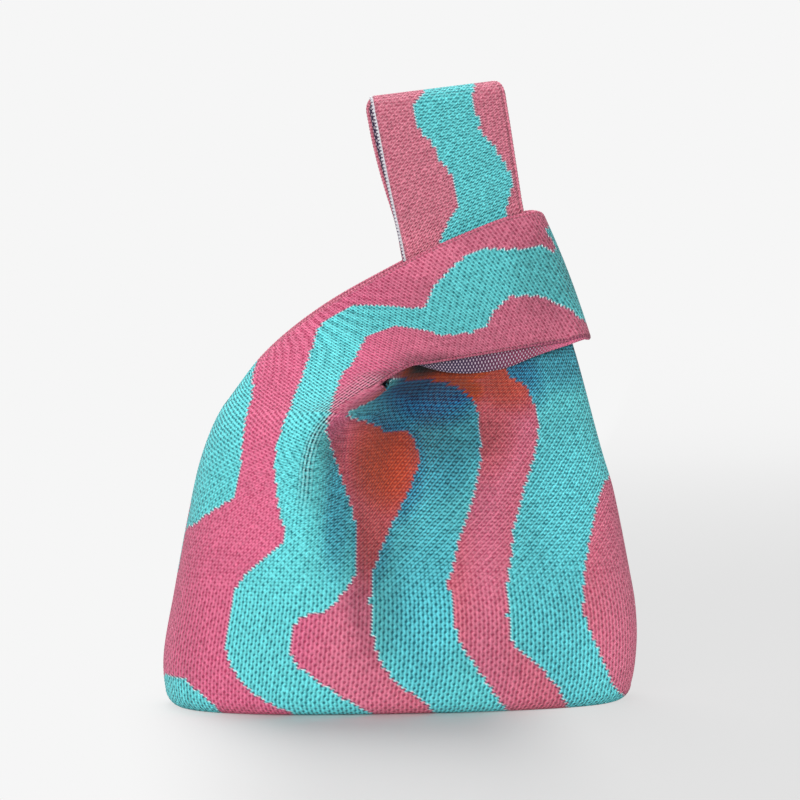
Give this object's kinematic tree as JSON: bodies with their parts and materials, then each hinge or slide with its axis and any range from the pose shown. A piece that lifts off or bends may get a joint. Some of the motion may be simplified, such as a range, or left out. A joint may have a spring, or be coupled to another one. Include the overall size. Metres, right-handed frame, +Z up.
{
  "type": "japanese knot bag",
  "caption": "Soft knitted wrist bag with a wide body, whose long handle is drawn through the loop of its short handle to close it and form a carry loop.",
  "frame": {"origin": "centre of the bag's bounding box at floor level, on the underside of the base", "axes": "+Z up along the bag's height, +X to the right seen from the front, front toward -Y"},
  "size_m": [0.2355, 0.0945, 0.3177],
  "materials": {
    "pink_knit": "matte",
    "turquoise_knit": "matte",
    "edge_yarn": "matte"
  },
  "bodies": {
    "bag_body": {"front_panel": "pink_knit", "back_panel": "turquoise_knit", "short_handle_front": "turquoise_knit", "short_handle_back": "pink_knit", "left_side_seam": "edge_yarn", "right_side_seam": "edge_yarn", "base_seam": "edge_yarn", "short_handle_end_seam": "edge_yarn", "short_handle_lower_hem": "edge_yarn", "short_handle_upper_hem": "edge_yarn"},
    "long_handle": {"long_handle_front": "pink_knit", "long_handle_back": "turquoise_knit"},
    "carry_loop": {"carry_loop_front": "pink_knit", "carry_loop_back": "turquoise_knit", "carry_loop_top_seam": "edge_yarn", "carry_loop_left_selvedge": "edge_yarn", "carry_loop_right_selvedge": "edge_yarn"}
  },
  "joints": [
    {"name": "long_handle_pull", "type": "slide", "parent": "bag_body", "child": "long_handle", "axis": [-0.2, 0, 0.9798], "range_m": [0, 0.018]},
    {"name": "carry_loop_tip", "type": "hinge", "parent": "long_handle", "child": "carry_loop", "pos_m": [0.0312, 0, 0.2444], "axis": [0.9263, 0, 0.3768], "range_deg": [-58, 58]}
  ]
}
